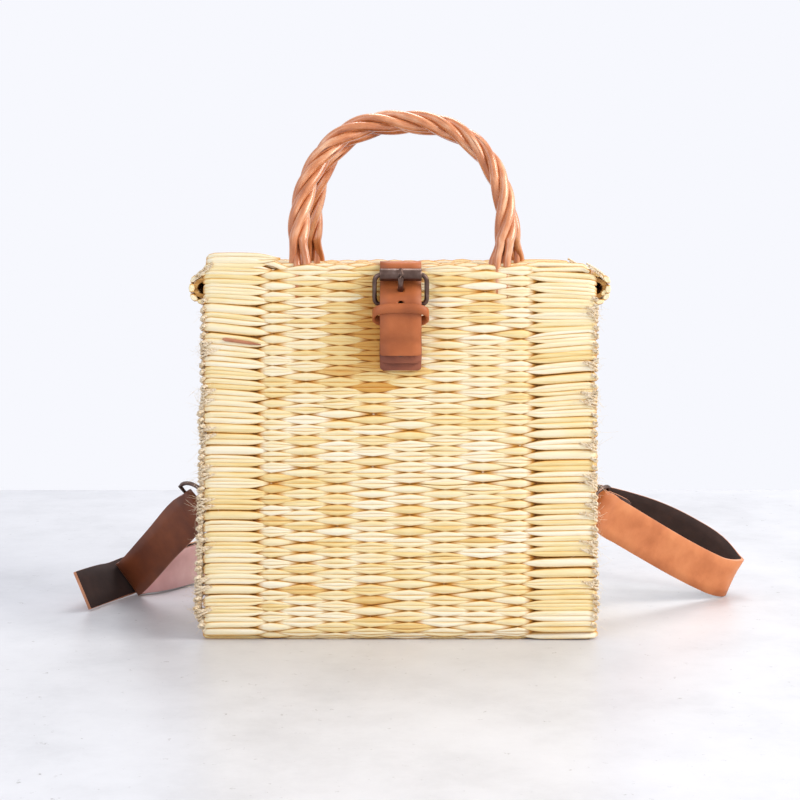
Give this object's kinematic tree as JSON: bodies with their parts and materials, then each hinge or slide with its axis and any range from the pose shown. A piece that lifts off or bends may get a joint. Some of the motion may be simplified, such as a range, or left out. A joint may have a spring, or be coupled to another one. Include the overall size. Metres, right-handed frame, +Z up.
{
  "type": "basket bag",
  "caption": "Square woven reed basket bag with twisted wicker handles, a buckled leather closure strap and a leather shoulder strap lying round it.",
  "frame": {"origin": "middle of the flat base, on the ground", "axes": "+X to the right as the bag's front is seen, +Y from the front panel to the back panel, +Z up out of the bag's mouth"},
  "size_m": [0.4291, 0.2111, 0.3227],
  "materials": {
    "reed": "satin",
    "jute": "matte",
    "wicker": "gloss",
    "leather": "satin",
    "dark_metal": "satin"
  },
  "bodies": {
    "bag": {"wrap_mat": "reed", "side_mat_left": "reed", "side_mat_right": "reed", "seam_front_left": "jute", "seam_front_right": "jute", "seam_back_left": "jute", "seam_back_right": "jute", "front_handle_rod_1": "wicker", "front_handle_rod_2": "wicker", "front_handle_rod_3": "wicker", "front_handle_rod_4": "wicker", "back_handle_rod_1": "wicker", "back_handle_rod_2": "wicker", "back_handle_rod_3": "wicker", "back_handle_rod_4": "wicker", "closure_strap": "leather", "closure_base_strap": "leather", "closure_keeper": "leather", "closure_buckle_frame": "dark_metal", "closure_tongue": "dark_metal", "closure_base_rivet": "dark_metal", "closure_back_rivet": "dark_metal", "ring_left": "dark_metal", "ring_right": "dark_metal", "ring_tab_left": "leather", "ring_tab_right": "leather", "ring_rivet_left": "dark_metal", "ring_rivet_right": "dark_metal", "short_strap": "leather", "long_strap": "leather", "strap_buckle_frame": "dark_metal", "strap_tongue": "dark_metal", "strap_keeper": "leather"},
    "closure_roller": {"closure_roller": "dark_metal"},
    "strap_roller": {"strap_roller": "dark_metal"}
  },
  "joints": [
    {"name": "closure_roller_spin", "type": "hinge", "parent": "bag", "child": "closure_roller", "pos_m": [0.0004, -0.0614, 0.22], "axis": [1, 0, 0], "continuous": true},
    {"name": "strap_roller_spin", "type": "hinge", "parent": "bag", "child": "strap_roller", "pos_m": [-0.049, 0.13595, 0.041], "axis": [0, 0, 1], "continuous": true}
  ]
}
